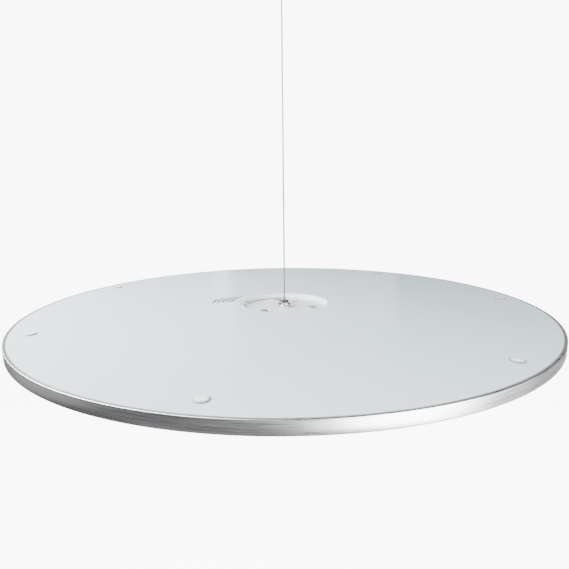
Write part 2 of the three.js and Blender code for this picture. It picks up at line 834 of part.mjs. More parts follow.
const boardZ = driverBottom + driverBoardLift;
add(group, 'driver_board', block(
  [0, driverOffset, boardZ],
  [caseWidth - 2 * play, caseDepth - 2 * play, driverBoardThickness],
), 'board');
add(group, 'mains_terminal', block(
  [mainsBlockX, mainsBlockInset - coverInner, driverTop - mainsBlockSize[2] / 2],
  mainsBlockSize,
), 'nylon');

['positive', 'negative'].forEach((pole, i) => {
  const x = (i - 0.5) * driverLeadSpacing;
  const start = [x, driverOffset - driverDepth / 2 - rest, boardZ + 4];
  const route = [
    start,
    [x, start[1] - 1.5, start[2] + 0.5],
    [x * 0.8, start[1] - 3.5, start[2] + 3],
    [x * 0.7, start[1] - 6, -gripperTop + 2.5],
    [x * 0.6, 2.2, -gripperTop + 3],
    [x * 0.5, 0.9, -gripperTop + 1.4],
    [x * 0.5, 0.8, -gripperTop - 3],
  ];
  const finish = i === 0 ? 'redLead' : 'blackLead';
  add(group, `driver_lead_${pole}`, leadTube(route, leadRadius, driverLeadSteps), finish);
});

export default group;
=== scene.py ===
import math

import bmesh
import bpy
from mathutils import Matrix, Vector


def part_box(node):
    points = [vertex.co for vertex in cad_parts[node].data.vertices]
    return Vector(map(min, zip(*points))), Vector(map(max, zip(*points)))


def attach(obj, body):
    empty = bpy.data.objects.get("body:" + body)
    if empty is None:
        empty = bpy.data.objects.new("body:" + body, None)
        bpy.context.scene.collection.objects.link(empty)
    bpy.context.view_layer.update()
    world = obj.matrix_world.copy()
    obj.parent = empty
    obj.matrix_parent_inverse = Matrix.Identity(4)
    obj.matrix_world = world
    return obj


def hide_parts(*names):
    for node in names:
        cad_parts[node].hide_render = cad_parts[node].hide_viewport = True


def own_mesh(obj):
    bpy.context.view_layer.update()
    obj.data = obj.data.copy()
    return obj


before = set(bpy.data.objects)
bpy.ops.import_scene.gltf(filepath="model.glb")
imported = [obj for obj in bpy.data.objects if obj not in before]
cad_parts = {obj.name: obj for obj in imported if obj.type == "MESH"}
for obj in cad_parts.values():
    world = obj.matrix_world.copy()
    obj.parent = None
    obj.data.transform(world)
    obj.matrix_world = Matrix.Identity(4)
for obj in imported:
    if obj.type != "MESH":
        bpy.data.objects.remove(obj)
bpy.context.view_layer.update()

MM = 0.001

# ---- sizes read from the frame ----


def corners(node):
    low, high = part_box(node)
    return Vector(low), Vector(high)


RIM_LOW, RIM_HIGH = corners("rim_ring")
GLASS_LOW, GLASS_HIGH = corners("top_glass")
CUP_LOW, CUP_HIGH = corners("recess_cup")
LIP = RIM_HIGH.z  # the plane of the rim's lip
DISC_RADIUS = RIM_HIGH.x - 0.01 * MM
RIM_WALL = 1.5 * MM
CUP_RADIUS = 55 * MM
CUP_WALL = 1.2 * MM
WIRE_RADIUS = 1.0 * MM
GLASS_EDGE_SHADE = 1.2 * MM  # width of the band of painted shade round the glass, standing for the dark gap against the rim
REST = 0.3 * MM  # gap between pieces that sit on or in each other
SCREW_PLAY = 0.4 * MM  # gap round a screw or a sleeve in its hole

# ---- camera ----

EYE = Vector((0.0, -0.5213, LIP + 0.1195))
EYE_PITCH = 0.184
EYE_YAW = 0.0003
EYE_ROLL = -0.0100
SENSOR = 36.0
LENS = 26.6426


def build_camera():
    ahead = Vector((
        math.sin(EYE_YAW) * math.cos(EYE_PITCH),
        math.cos(EYE_YAW) * math.cos(EYE_PITCH),
        -math.sin(EYE_PITCH),
    ))
    level = Vector((math.cos(EYE_YAW), -math.sin(EYE_YAW), 0.0))
    above = level.cross(ahead)
    right = math.cos(EYE_ROLL) * level + math.sin(EYE_ROLL) * above
    upward = math.cos(EYE_ROLL) * above - math.sin(EYE_ROLL) * level
    data = bpy.data.cameras.new("studio_camera")
    data.sensor_width = SENSOR
    data.lens = LENS
    data.clip_start = 0.01
    camera = bpy.data.objects.new("studio_camera", data)
    bpy.context.scene.collection.objects.link(camera)
    turn = Matrix((right, upward, -ahead)).transposed()
    camera.matrix_world = Matrix.Translation(EYE) @ turn.to_4x4()
    bpy.context.scene.camera = camera


build_camera()

# ---- mesh helpers ----

LEVEL = 0.99999  # a normal this upright belongs to a level face


def shade(mesh, smooth_angle):
    """Smooth shading that breaks at corners, with level faces kept dead flat."""
    mesh.shade_smooth()
    mesh.set_sharp_from_angle(angle=math.radians(smooth_angle))
    for polygon in mesh.polygons:
        if abs(polygon.normal.z) > LEVEL:
            polygon.use_smooth = False


def finish_mesh(bm, name, smooth_angle=35):
    bmesh.ops.remove_doubles(bm, verts=bm.verts, dist=1e-7)
    bmesh.ops.recalc_face_normals(bm, faces=bm.faces)
    mesh = bpy.data.meshes.new(name)
    bm.to_mesh(mesh)
    bm.free()
    piece = bpy.data.objects.new(name, mesh)
    bpy.context.scene.collection.objects.link(piece)
    shade(mesh, smooth_angle)
    return piece


def spin_profile(bm, profile, steps, centre=(0, 0, 0), closed=True):
    """Turns [radius, height] points about Z through centre."""
    centre = Vector(centre)
    verts = [bm.verts.new(centre + Vector((radius, 0, height))) for radius, height in profile]
    edges = [bm.edges.new(pair) for pair in zip(verts, verts[1:])]
    if closed:
        edges.append(bm.edges.new((verts[-1], verts[0])))
    bmesh.ops.spin(
        bm, geom=verts + edges, cent=centre, axis=(0, 0, 1), angle=2 * math.pi, steps=steps, use_merge=True
    )
    bmesh.ops.remove_doubles(bm, verts=bm.verts, dist=1e-7)


def round_edges(bm, width, segments=3, limit=28):
    bmesh.ops.recalc_face_normals(bm, faces=bm.faces)
    sharp = [
        edge for edge in bm.edges
        if len(edge.link_faces) == 2 and edge.calc_face_angle() > math.radians(limit)
    ]
    bmesh.ops.bevel(
        bm, geom=sharp, offset=width, offset_type="OFFSET", segments=segments, profile=0.5,
        affect="EDGES", material=-1, clamp_overlap=True,
    )


def turned(name, profile, steps, width=0.0, centre=(0, 0, 0), closed=True, segments=3, turn=None):
    bm = bmesh.new()
    spin_profile(bm, profile, steps, centre, closed)
    if width:
        round_edges(bm, width, segments)
    if turn:
        bmesh.ops.transform(bm, matrix=turn, verts=bm.verts)
    return finish_mesh(bm, name)


def box_piece(name, low, high, width, segments=3):
    bm = bmesh.new()
    centre = (Vector(low) + Vector(high)) / 2
    size = Vector(high) - Vector(low)
    bmesh.ops.create_cube(bm, size=1, matrix=Matrix.Translation(centre) @ Matrix.Diagonal(size.to_4d()))
    round_edges(bm, width, segments)
    return finish_mesh(bm, name)


def ring_profile(inner, outer, bottom, top):
    return [(inner, bottom), (outer, bottom), (outer, top), (inner, top)]


def cutter(radius, bottom, top, place=(0, 0), sides=32, turn=None):
    """A hidden cylinder or prism for cutting a hole."""
    bm = bmesh.new()
    bmesh.ops.create_cone(
        bm, cap_ends=True, segments=sides, radius1=radius, radius2=radius, depth=top - bottom,
        matrix=Matrix.Translation((*place, (bottom + top) / 2)),
    )
    if turn:
        bmesh.ops.transform(bm, matrix=turn, verts=bm.verts)
    return finish_mesh(bm, "cutter")


def cut_away(piece, cutters, smooth_angle=35):
    """Cuts the cutters out of the piece for good, and removes them."""
    for tool in cutters:
        step = piece.modifiers.new("cut", "BOOLEAN")
        step.operation = "DIFFERENCE"
        step.solver = "EXACT"
        step.object = tool
    graph = bpy.context.evaluated_depsgraph_get()
    mesh = bpy.data.meshes.new_from_object(piece.evaluated_get(graph))
    piece.modifiers.clear()
    old = piece.data
    piece.data = mesh
    bpy.data.meshes.remove(old)
    for tool in cutters:
        data = tool.data
        bpy.data.objects.remove(tool)
        bpy.data.meshes.remove(data)
    shade(mesh, smooth_angle)


def tube_along(name, points, radius, sides=12, steps=8):
    """A round lead along a smooth curve through the points."""
    data = bpy.data.curves.new(name, "CURVE")
    data.dimensions = "3D"
    data.bevel_depth = radius
    data.bevel_resolution = sides // 4
    data.use_fill_caps = True
    data.resolution_u = steps
    spline = data.splines.new("BEZIER")
    spline.bezier_points.add(len(points) - 1)
    for knot, point in zip(spline.bezier_points, points):
        knot.co = point
        knot.handle_left_type = "AUTO"
        knot.handle_right_type = "AUTO"
    curve = bpy.data.objects.new(name, data)
    bpy.context.scene.collection.objects.link(curve)
    graph = bpy.context.evaluated_depsgraph_get()
    mesh = bpy.data.meshes.new_from_object(curve.evaluated_get(graph))
    bpy.data.objects.remove(curve)
    bpy.data.curves.remove(data)
    piece = bpy.data.objects.new(name, mesh)
    bpy.context.scene.collection.objects.link(piece)
    mesh.shade_smooth()
    return piece


def polar(radius, degrees):
    angle = math.radians(degrees)
    return radius * math.cos(angle), radius * math.sin(angle)


def set_in(piece, body, material, slot, *nodes):
    """Gives a piece its body and finish, and says which CAD nodes it stands for. The slot argument is not
    used.
    """
    piece.data.materials.clear()
    piece.data.materials.append(material)
    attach(piece, body)
    if nodes:
        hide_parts(*nodes)
    return piece


# ---- material helpers ----


class Finish:
    """A Principled material whose pattern nodes read Object coordinates."""

    def __init__(self, name, color, roughness, metallic=0.0, **sockets):
        self.material = bpy.data.materials.new(name)
        self.material.use_nodes = True
        self.nodes = self.material.node_tree.nodes
        self.links = self.material.node_tree.links
        self.shader = self.nodes["Principled BSDF"]
        self.shader.inputs["Base Color"].default_value = (*color, 1)
        self.shader.inputs["Roughness"].default_value = roughness
        self.shader.inputs["Metallic"].default_value = metallic
        for socket, value in sockets.items():
            self.shader.inputs[socket.replace("_", " ")].default_value = value
        self.color = color
        self.roughness = roughness

    def node(self, kind, **settings):
        made = self.nodes.new(kind)
        for key, value in settings.items():
            setattr(made, key, value)
        return made

    def spot(self, scale=(1, 1, 1)):
        """Object coordinates stretched by scale."""
        place = self.node("ShaderNodeTexCoord")
        mapping = self.node("ShaderNodeMapping")
        mapping.inputs["Scale"].default_value = scale
        self.links.new(place.outputs["Object"], mapping.inputs["Vector"])
        return mapping.outputs["Vector"]

    def noise(self, size, detail=3.0, stretch=(1, 1, 1)):
        """Noise with features about size metres across."""
        grain = self.node("ShaderNodeTexNoise")
        grain.inputs["Scale"].default_value = 1 / size
        grain.inputs["Detail"].default_value = detail
        self.links.new(self.spot(stretch), grain.inputs["Vector"])
        return grain.outputs["Fac"]

    def from_axis(self):
        """Distance from the wire's axis, in metres."""
        place = self.node("ShaderNodeTexCoord")
        level = self.node("ShaderNodeVectorMath", operation="MULTIPLY")
        level.inputs[1].default_value = (1, 1, 0)
        length = self.node("ShaderNodeVectorMath", operation="LENGTH")
        self.links.new(place.outputs["Object"], level.inputs[0])
        self.links.new(level.outputs["Vector"], length.inputs[0])
        return length.outputs["Value"]

    def height(self):
        place = self.node("ShaderNodeTexCoord")
        split = self.node("ShaderNodeSeparateXYZ")
        self.links.new(place.outputs["Object"], split.inputs["Vector"])
        return split.outputs["Z"]

    def between(self, fac, low, high, start=0.3, end=0.7):
        """Maps a factor to the range low to high."""
        step = self.node("ShaderNodeMapRange")
        step.inputs["From Min"].default_value = start
        step.inputs["From Max"].default_value = end
        step.inputs["To Min"].default_value = low
        step.inputs["To Max"].default_value = high
        self.links.new(fac, step.inputs["Value"])
        return step.outputs["Result"]

    def tint(self, fac, other, start=0.3, end=0.7):
        """Mixes the base colour so far towards another colour by a factor."""
        base = self.shader.inputs["Base Color"]
        mix = self.node("ShaderNodeMix", data_type="RGBA")
        mix.inputs["A"].default_value = (*self.color, 1)
        if base.is_linked:
            self.links.new(base.links[0].from_socket, mix.inputs["A"])
        mix.inputs["B"].default_value = (*other, 1)
        self.links.new(self.between(fac, 0, 1, start, end), mix.inputs["Factor"])
        self.links.new(mix.outputs["Result"], base)

    def vary_roughness(self, fac, amount):
        value = self.between(fac, self.roughness - amount, self.roughness + amount)
        self.links.new(value, self.shader.inputs["Roughness"])

    def bump(self, fac, depth, strength=1.0):
        """Raises the surface by depth metres where the factor is 1."""
        bump = self.node("ShaderNodeBump")
        bump.inputs["Strength"].default_value = strength
        bump.inputs["Distance"].default_value = depth
        self.links.new(fac, bump.inputs["Height"])
        self.links.new(bump.outputs["Normal"], self.shader.inputs["Normal"])


def satin_aluminium():
    finish = Finish("satin_aluminium", (0.80, 0.81, 0.83), 0.30, 1.0, Anisotropic=0.6)
    tangent = finish.node("ShaderNodeTangent", direction_type="RADIAL", axis="Z")
    finish.links.new(tangent.outputs["Tangent"], finish.shader.inputs["Tangent"])
    grain = finish.noise(0.6 * MM, 4.0, (0.02, 0.02, 1.0))
    finish.bump(grain, 0.004 * MM, 0.5)
    finish.vary_roughness(finish.noise(0.9 * MM, 3.0, (0.03, 0.03, 1.0)), 0.05)
    finish.tint(finish.noise(40 * MM, 2.0), (0.77, 0.78, 0.80))
    return finish.material


def backed_glass():
    """Glass with a white backing, and a dark band painted round its edge as the shade in the gap against the
    rim's lip.
    """
    finish = Finish("white_backed_glass", (0.63, 0.76, 0.81), 0.20, 0.0, IOR=1.5)
    finish.tint(finish.noise(220 * MM, 1.0), (0.61, 0.745, 0.795))
    edge = GLASS_HIGH.x - GLASS_EDGE_SHADE
    # painted shade: a dark band at the glass's edge stands for the shadow in the gap against the rim's lip
    finish.tint(finish.from_axis(), (0.24, 0.25, 0.25), edge, edge + 0.2 * MM)
    finish.vary_roughness(finish.noise(60 * MM, 2.0), 0.03)
    finish.bump(finish.noise(35 * MM, 1.0), 0.02 * MM, 0.3)
    return finish.material


def recess_enamel_shaded_floor():
    """White enamel on the recess's wall, with a greyer floor painted as the shade that falls inside the
    recess.
    """
    finish = Finish("recess_enamel_shaded_floor", (0.69, 0.74, 0.76), 0.34)
    wall = CUP_RADIUS - CUP_WALL - 1.0 * MM
    finish.tint(finish.noise(18 * MM, 2.0), (0.66, 0.72, 0.74))
    # painted shade: inside the wall the floor keeps the greyer base colour, standing for the shade in the
    # recess
    finish.tint(finish.from_axis(), (0.88, 0.90, 0.90), wall, wall + 0.4 * MM)
    finish.bump(finish.noise(0.5 * MM, 3.0), 0.01 * MM, 0.4)
    finish.vary_roughness(finish.noise(6 * MM, 2.0), 0.06)
    return finish.material


def polished_cap():
    """A white dome whose low edge, where it meets the glass, is painted dark as the shade and dark
    reflection a glossy dome shows there.
    """
    finish = Finish("polished_cap", (0.22, 0.23, 0.24), 0.25, 0.1)
    painted_shade_top = GLASS_HIGH.z + 1.0 * MM
    # painted shade: below this height the dome keeps the dark base colour, standing for the shade and dark
    # reflection on its low side
    finish.tint(finish.height(), (0.90, 0.91, 0.92), painted_shade_top, painted_shade_top + 0.5 * MM)
    finish.vary_roughness(finish.noise(2 * MM, 2.0), 0.04)
    finish.bump(finish.noise(0.4 * MM, 2.0), 0.004 * MM, 0.4)
    return finish.material


def white_enamel():
    finish = Finish("white_enamel", (0.88, 0.90, 0.90), 0.30)
    finish.bump(finish.noise(0.5 * MM, 3.0), 0.01 * MM, 0.4)
    finish.vary_roughness(finish.noise(6 * MM, 2.0), 0.06)
    finish.tint(finish.noise(18 * MM, 2.0), (0.84, 0.86, 0.87))
    return finish.material


def opal_panel():
    finish = Finish("opal_panel", (0.93, 0.93, 0.91), 0.35, 0.0, Emission_Strength=0.35)
    finish.shader.inputs["Emission Color"].default_value = (1.0, 0.97, 0.92, 1)
    finish.vary_roughness(finish.noise(2 * MM, 2.0), 0.05)
    finish.bump(finish.noise(0.8 * MM, 2.0), 0.01 * MM, 0.3)
    finish.tint(finish.noise(90 * MM, 1.0), (0.90, 0.90, 0.89))
    return finish.material


def moulded(name, color, shade, grain=0.4):
    finish = Finish(name, color, 0.5)
    finish.bump(finish.noise(grain * MM, 3.0), 0.02 * MM, 0.5)
    finish.vary_roughness(finish.noise(3 * MM, 2.0), 0.08)
    finish.tint(finish.noise(9 * MM, 2.0), shade)
    return finish.material


def plated(name, color, shade, roughness):
    finish = Finish(name, color, roughness, 1.0)
    finish.vary_roughness(finish.noise(1.2 * MM, 3.0), 0.06)
    finish.bump(finish.noise(0.25 * MM, 3.0, (1, 1, 3)), 0.003 * MM, 0.5)
    finish.tint(finish.noise(3 * MM, 3.0), shade)
    return finish.material


def clear_acrylic():
    finish = Finish("clear_acrylic", (0.95, 0.98, 0.98), 0.06, 0.0, IOR=1.49, Transmission_Weight=0.6)
    finish.vary_roughness(finish.noise(12 * MM, 2.0), 0.03)
    finish.tint(finish.noise(30 * MM, 1.0), (0.93, 0.97, 0.98))
    return finish.material


ALUMINIUM = satin_aluminium()
GLASS = backed_glass()
ENAMEL = white_enamel()
RECESS = recess_enamel_shaded_floor()
CAP = polished_cap()
OPAL = opal_panel()
ACRYLIC = clear_acrylic()
NYLON = moulded("white_nylon", (0.83, 0.83, 0.80), (0.78, 0.78, 0.75))
FILM = moulded("reflector_film", (0.93, 0.93, 0.93), (0.90, 0.90, 0.91), 0.2)
BOARD = moulded("white_board", (0.88, 0.88, 0.82), (0.83, 0.83, 0.78), 0.3)
BLACK_PLASTIC = moulded("black_plastic", (0.03, 0.03, 0.034), (0.045, 0.045, 0.05))
RED_LEAD = moulded("red_lead", (0.38, 0.17, 0.15), (0.32, 0.14, 0.12))
BLACK_LEAD = moulded("black_lead", (0.03, 0.03, 0.035), (0.05, 0.05, 0.055))
STEEL = plated("zinc_steel", (0.62, 0.63, 0.66), (0.54, 0.55, 0.58), 0.34)
WIRE_STEEL = plated("wire_steel", (0.30, 0.30, 0.31), (0.22, 0.22, 0.23), 0.38)
NICKEL = plated("bright_nickel", (0.83, 0.82, 0.79), (0.76, 0.75, 0.72), 0.16)
DARK_NICKEL = plated("dark_nickel", (0.07, 0.065, 0.07), (0.12, 0.115, 0.12), 0.28)
BRONZE = plated("contact_bronze", (0.66, 0.42, 0.24), (0.58, 0.34, 0.18), 0.30)

# ---- suspension wire ----

WIRE_LOW, WIRE_HIGH = corners("suspension_wire")
STRANDS = 6
STRAND_LAY = 11 * MM  # height in which a strand goes once round
WIRE_STEP = 1.0 * MM


def build_wire():
    """A round wire of twisted strands, as a lobed section drawn up and turned step by step."""
    bm = bmesh.new()
    bottom = Vector((0, 0, WIRE_LOW.z))
    sides = STRANDS * 4
    place = Matrix.Translation(bottom)
    bmesh.ops.create_circle(bm, cap_ends=True, radius=WIRE_RADIUS, segments=sides, matrix=place)
    for i, vert in enumerate(bm.verts):
        dip = 0.14 * (1 - math.cos(2 * math.pi * i * STRANDS / sides)) / 2
        vert.co.xy *= 1 - dip
    height = WIRE_HIGH.z - WIRE_LOW.z
    steps = round(height / WIRE_STEP)
    twist = Matrix.Rotation(2 * math.pi * (height / steps) / STRAND_LAY, 3, "Z")
    cap = bm.faces[:]
    for _ in range(steps):
        grown = bmesh.ops.extrude_face_region(bm, geom=cap)
        cap = [item for item in grown["geom"] if isinstance(item, bmesh.types.BMFace)]
        verts = [item for item in grown["geom"] if isinstance(item, bmesh.types.BMVert)]
        bmesh.ops.rotate(bm, verts=verts, cent=(0, 0, 0), matrix=twist)
        bmesh.ops.translate(bm, verts=verts, vec=(0, 0, height / steps))
    return finish_mesh(bm, "suspension_wire_strands", 60)


wire = set_in(build_wire(), "wire", WIRE_STEEL, "wire_steel", "suspension_wire")

# ---- disc: rim, glass, caps and light plates ----

RIM_STEPS = 336
HUB_STEPS = 144
WEB_REACH = 28 * MM
HOLE_RADIUS = 55.5 * MM  # opening for the cup in glass, guide and diffuser


def middle(node):
    low, high = corners(node)
    return (low + high) / 2


def arc(centre_r, centre_z, radius, start, end, steps):
    """Points of an arc in a turned profile, from start to end degrees."""
    points = []
    for step in range(steps + 1):
        angle = math.radians(start + (end - start) * step / steps)
        points.append((centre_r + radius * math.cos(angle), centre_z + radius * math.sin(angle)))
    return points


def build_rim():
    wall = DISC_RADIUS - RIM_WALL
    web_inner = wall - WEB_REACH
    web_top = GLASS_LOW.z - REST
    web_bottom = corners("light_guide")[0].z
    edge = 1.0 * MM
    lip = 0.5 * MM
    profile = [(web_inner, web_bottom), (wall, web_bottom), (wall, RIM_LOW.z)]
    profile += arc(DISC_RADIUS - edge, RIM_LOW.z + edge, edge, -90, 0, 5)
    profile += arc(DISC_RADIUS - lip, LIP - lip, lip, 0, 90, 4)
    profile += [(wall + 0.25 * MM, LIP), (wall, LIP - 0.25 * MM), (wall, web_top), (web_inner, web_top)]
    return turned("rim_band", profile, RIM_STEPS)


set_in(build_rim(), "disc", ALUMINIUM, "rim_aluminium", "rim_ring")

CAP_COUNT = 7
CAP_NODES = [f"cap_screw_{i + 1}" for i in range(CAP_COUNT)]
SLEEVE_NODES = [f"screw_sleeve_{i + 1}" for i in range(CAP_COUNT)]


def build_glass():
    profile = ring_profile(HOLE_RADIUS, GLASS_HIGH.x, GLASS_LOW.z, GLASS_HIGH.z)
    glass = turned("glass_panel", profile, RIM_STEPS, 0.3 * MM)
    holes = []
    for node in SLEEVE_NODES:
        low, high = corners(node)
        radius = (high.x - low.x) / 2 + SCREW_PLAY
        holes.append(cutter(radius, low.z - MM, high.z + MM, middle(node).xy))
    cut_away(glass, holes, 15)
    return glass


set_in(build_glass(), "disc", GLASS, "top_glass", "top_glass")

CAP_SHANK = 1.6 * MM


def build_cap(name, node):
    low, high = corners(node)
    place = middle(node)
    head = (high.x - low.x) / 2
    seat = GLASS_HIGH.z + 0.1 * MM
    rim = 0.5 * MM
    profile = [(0, low.z), (CAP_SHANK, low.z), (CAP_SHANK, seat)]
    profile += [(head - 0.2 * MM, seat), (head, seat + 0.2 * MM), (head, seat + rim)]
    crown = high.z - seat - rim
    for step in range(1, 10):
        angle = math.radians(9 * step)
        profile.append((head * math.cos(angle), seat + rim + crown * math.sin(angle)))
    profile.append((0, high.z))
    return turned(name, profile, 48, 0.0, (place.x, place.y, 0), closed=False)


def build_sleeve(name, node):
    low, high = corners(node)
    place = middle(node)
    profile = ring_profile(CAP_SHANK + SCREW_PLAY, (high.x - low.x) / 2, low.z, high.z)
    return turned(name, profile, 32, 0.15 * MM, (place.x, place.y, 0))


for number, (cap_node, sleeve_node) in enumerate(zip(CAP_NODES, SLEEVE_NODES), 1):
    set_in(build_cap(f"dome_cap_{number}", cap_node), "disc", CAP, "white_enamel", cap_node)
    set_in(build_sleeve(f"nylon_sleeve_{number}", sleeve_node), "disc", NYLON, "white_nylon", sleeve_node)


def build_plate(name, node, width, inner=HOLE_RADIUS):
    low, high = corners(node)
    return turned(name, ring_profile(inner, high.x, low.z, high.z), RIM_STEPS, width)


RETAINER_WIDTH = 8 * MM
retainer_inner = corners("retaining_ring")[1].x - RETAINER_WIDTH
set_in(build_plate("opal_diffuser", "diffuser", 0.1 * MM), "disc", OPAL, "opal_acrylic", "diffuser")
retainer = build_plate("retainer_band", "retaining_ring", 0.25 * MM, retainer_inner)
set_in(retainer, "disc", ALUMINIUM, "rim_aluminium", "retaining_ring")

# ---- recess cup and centre cap ----

CUP_FLOOR = 1.2 * MM
FLANGE_HIGH = GLASS_LOW.z - REST
FLANGE_LOW = FLANGE_HIGH - 1.0 * MM
FLOOR_TOP = CUP_LOW.z + CUP_FLOOR
FLOOR_BORE = 4.0 * MM
SCREW_NODES = [f"hub_screw_{i + 1}" for i in range(3)]
HUB_SHANK = 2.0 * MM
HUB_HEAD_HEIGHT = 2.2 * MM
LEAD_EXIT = 157.5
SLOT_WIDTH = 4 * MM


def build_cup():
    inner = CUP_RADIUS - CUP_WALL
    sweep = 0.9 * MM  # fillet between the floor and the wall
    lip = 0.35 * MM
    heel = 0.5 * MM
    profile = [(FLOOR_BORE, CUP_LOW.z), (CUP_RADIUS - heel, CUP_LOW.z), (CUP_RADIUS, CUP_LOW.z + heel)]
    profile += [(CUP_RADIUS, FLANGE_LOW), (CUP_HIGH.x, FLANGE_LOW), (CUP_HIGH.x, FLANGE_HIGH)]
    profile += [(CUP_RADIUS, FLANGE_HIGH)]
    profile += arc(CUP_RADIUS - lip, CUP_HIGH.z - lip, lip, 0, 90, 3)
    profile += arc(inner + lip, CUP_HIGH.z - lip, lip, 90, 180, 3)
    profile += arc(inner - sweep, FLOOR_TOP + sweep, sweep, 0, -90, 4)
    profile += [(FLOOR_BORE + 0.2 * MM, FLOOR_TOP), (FLOOR_BORE, FLOOR_TOP - 0.2 * MM)]
    cup = turned("hub_cup", profile, HUB_STEPS)
    tools = [
        cutter(HUB_SHANK + SCREW_PLAY, CUP_LOW.z - MM, FLOOR_TOP + MM, middle(node).xy)
        for node in SCREW_NODES
    ]
    slot_low = (CUP_RADIUS - 3 * MM, -SLOT_WIDTH / 2, FLANGE_LOW - 0.2 * MM)
    slot_high = (CUP_HIGH.x + 3 * MM, SLOT_WIDTH / 2, FLANGE_HIGH + 0.2 * MM)
    slot = box_piece("cutter", slot_low, slot_high, 0.3 * MM)
    slot.data.transform(Matrix.Rotation(math.radians(LEAD_EXIT), 4, "Z"))
    cut_away(cup, tools + [slot], 25)
    return cup


set_in(build_cup(), "disc", RECESS, "white_enamel", "recess_cup")


def build_centre_cap():
    low, high = corners("centre_cap")
    plate_top = low.z + 1.0 * MM
    boss_outer = 40.5 * MM
    boss_inner = 31.5 * MM
    profile = [(0, low.z), (high.x - 0.5 * MM, low.z)]
    profile += [(high.x, low.z + 0.5 * MM), (high.x, plate_top), (boss_outer, plate_top)]
    profile += [(boss_outer, high.z), (boss_inner, high.z), (boss_inner, plate_top), (0, plate_top)]
    cap = turned("underside_cap", profile, HUB_STEPS, closed=False)
    tools = [
        cutter(HUB_SHANK + SCREW_PLAY, plate_top - 0.5 * MM, high.z + MM, middle(node).xy)
        for node in SCREW_NODES
    ]
    cut_away(cap, tools, 25)
    return cap


set_in(build_centre_cap(), "disc", ALUMINIUM, "rim_aluminium", "centre_cap")


def socket_head(name, node, head_height, shank, socket, depth):
    """A cap head screw standing along Z, with a hexagon socket."""
    low, high = corners(node)
    place = middle(node)
    head_radius = (high.x - low.x) / 2
    under = high.z - head_height
    profile = [(0, low.z), (shank, low.z), (shank, under), (head_radius, under)]
    profile += arc(head_radius - 0.5 * MM, high.z - 0.5 * MM, 0.5 * MM, 0, 90, 4)
    profile.append((0, high.z))
    screw = turned(name, profile, 40, 0.0, (place.x, place.y, 0), closed=False)
    cut_away(screw, [cutter(socket, high.z - depth, high.z + MM, place.xy, 6)], 25)
    return screw


for number, node in enumerate(SCREW_NODES, 1):
    screw = socket_head(f"cup_screw_{number}", node, HUB_HEAD_HEIGHT, HUB_SHANK, 1.7 * MM, 1.5 * MM)
    set_in(screw, "disc", STEEL, "zinc_steel", node)

# ---- swivel fitting ----

SOCKET_LOW, SOCKET_HIGH = corners("swivel_socket")
SWIVEL_CAP_LOW, SWIVEL_CAP_HIGH = corners("swivel_cap")
BALL = middle("lower_ball")
BALL_RADIUS = (corners("lower_ball")[1] - corners("lower_ball")[0]).z / 2
BASE_RADIUS = 7 * MM
BARREL_RADIUS = 5 * MM
SHANK_RADIUS = 3.6 * MM
GRUB = middle("grub_screw_left").z


def build_washer():
    low, high = corners("swivel_washer")
    return turned("bearing_washer", ring_profile(FLOOR_BORE, high.x, low.z, high.z), 64, 0.1 * MM)


def build_socket():
    base_low = corners("swivel_washer")[1].z + REST
    base_high = base_low + 2 * MM
    bore = BALL_RADIUS + 0.35 * MM
    floor = BALL.z - BALL_RADIUS - 0.4 * MM
    ease = 0.4 * MM
    profile = [(0, SOCKET_LOW.z), (SHANK_RADIUS - ease, SOCKET_LOW.z), (SHANK_RADIUS, SOCKET_LOW.z + ease)]
    profile += [(SHANK_RADIUS, base_low), (BASE_RADIUS - 0.2 * MM, base_low)]
    profile.append((BASE_RADIUS, base_low + 0.2 * MM))
    profile += arc(BASE_RADIUS - ease, base_high - ease, ease, 0, 90, 4)
    profile += arc(BARREL_RADIUS + 0.5 * MM, base_high + 0.5 * MM, 0.5 * MM, -90, -180, 4)
    profile += [(BARREL_RADIUS, SOCKET_HIGH.z - 0.2 * MM), (BARREL_RADIUS - 0.2 * MM, SOCKET_HIGH.z)]
    profile += [(bore, SOCKET_HIGH.z), (bore, floor), (0, floor)]
    socket = turned("swivel_barrel", profile, 72, closed=False)
    across = [
        cutter(1.35 * MM, bore + 0.3 * MM, BASE_RADIUS + MM, (0, 0), 24,
               Matrix.Translation((0, 0, GRUB)) @ Matrix.Rotation(side * math.pi / 2, 4, "Y"))
        for side in (-1, 1)
    ]
    cut_away(socket, across, 25)
    return socket


def build_swivel_cap():
    mouth = WIRE_RADIUS + 1.0 * MM
    outer = SWIVEL_CAP_HIGH.x
    foot = SWIVEL_CAP_LOW.z
    top = SWIVEL_CAP_HIGH.z
    crown = 1.1 * MM
    profile = [(mouth, foot), (outer - 0.2 * MM, foot), (outer, foot + 0.2 * MM)]
    profile += arc(outer - crown, top - crown, crown, 0, 90, 6)
    profile += [(mouth + 0.4 * MM, top), (mouth, top - 0.4 * MM)]
    return turned("swivel_crown", profile, 72)


def hex_piece(name, node, bore, width=0.25 * MM):
    """A hexagon nut with rounded corners, from its CAD node's box."""
    low, high = corners(node)
    bm = bmesh.new()
    spin_profile(bm, ring_profile(bore, high.x, low.z, high.z), 6)
    round_edges(bm, width, 3)
    nut = finish_mesh(bm, name)
    cut_away(nut, [cutter(bore + 0.01 * MM, low.z - MM, high.z + MM, sides=48)], 25)
    return nut


